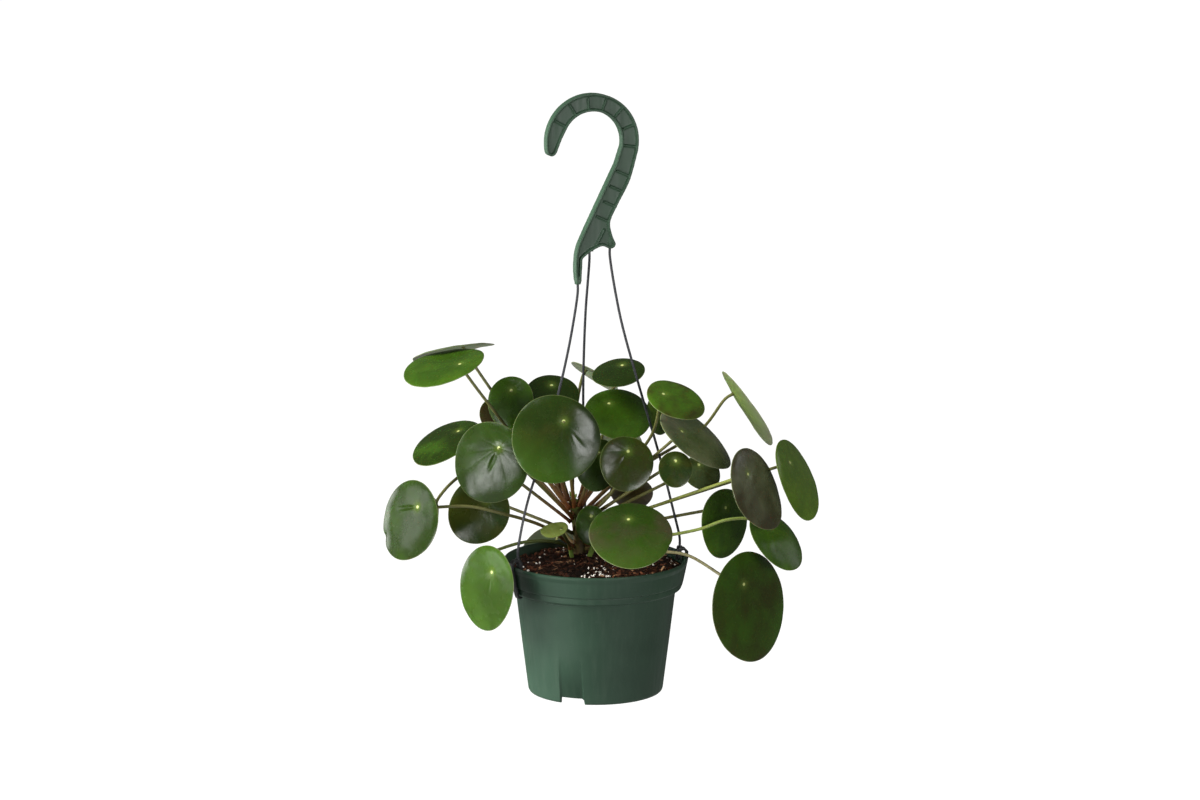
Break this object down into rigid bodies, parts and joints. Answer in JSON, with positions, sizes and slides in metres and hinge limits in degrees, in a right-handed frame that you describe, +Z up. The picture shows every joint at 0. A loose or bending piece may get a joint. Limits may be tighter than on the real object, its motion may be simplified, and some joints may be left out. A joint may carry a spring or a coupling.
{
  "type": "hanging potted pilea plant",
  "caption": "Pilea with round peltate leaves on long stalks in a green plastic hanging pot, held by wire strands that run from rim clips up to a one-piece hook.",
  "frame": {"origin": "the point where the hook's crown bears on its rail, midway across the hook", "axes": "+Z up along the pot's axis direction, -Y the side shown to the room, +X to its right"},
  "size_m": [0.3934, 0.2358, 0.54],
  "materials": {
    "pot_plastic": "moulded dark green polypropylene, satin, faintly scuffed and dusty",
    "hook_plastic": "moulded dark green polypropylene, satin, pale where the edges catch light",
    "clip": "moulded black plastic, satin",
    "strand": "wire in a dark grey plastic coat, satin",
    "soil": "moist peat with bark chips, fibres and white perlite",
    "stem_bark": "brown-green woody stem with leaf scars",
    "foliage": "smooth fleshy leaf with a waxy sheen, pale dot at the stalk and a thin pale rim"
  },
  "bodies": {
    "root": {"pot": "pot_plastic", "soil": "soil", "stem": "stem_bark", "hook": "hook_plastic", "leaf_01": "foliage", "leaf_02": "foliage", "leaf_03": "foliage", "leaf_04": "foliage", "leaf_05": "foliage", "leaf_06": "foliage", "leaf_07": "foliage", "leaf_08": "foliage", "leaf_09": "foliage", "leaf_10": "foliage", "leaf_11": "foliage", "leaf_12": "foliage", "leaf_13": "foliage", "leaf_14": "foliage", "leaf_15": "foliage", "leaf_16": "foliage", "leaf_17": "foliage", "leaf_18": "foliage", "leaf_19": "foliage", "leaf_20": "foliage", "leaf_21": "foliage", "leaf_22": "foliage", "leaf_23": "foliage", "leaf_24": "foliage", "leaf_25": "foliage", "leaf_26": "foliage", "leaf_27": "foliage", "leaf_28": "foliage", "leaf_29": "foliage", "leaf_30": "foliage", "leaf_31": "foliage", "leaf_32": "foliage", "leaf_33": "foliage", "leaf_34": "foliage", "leaf_35": "foliage", "leaf_36": "foliage", "leaf_37": "foliage", "strand_left": "strand", "clip_left": "clip", "strand_back": "strand", "clip_back": "clip", "strand_right": "strand", "clip_right": "clip"}
  },
  "joints": []
}
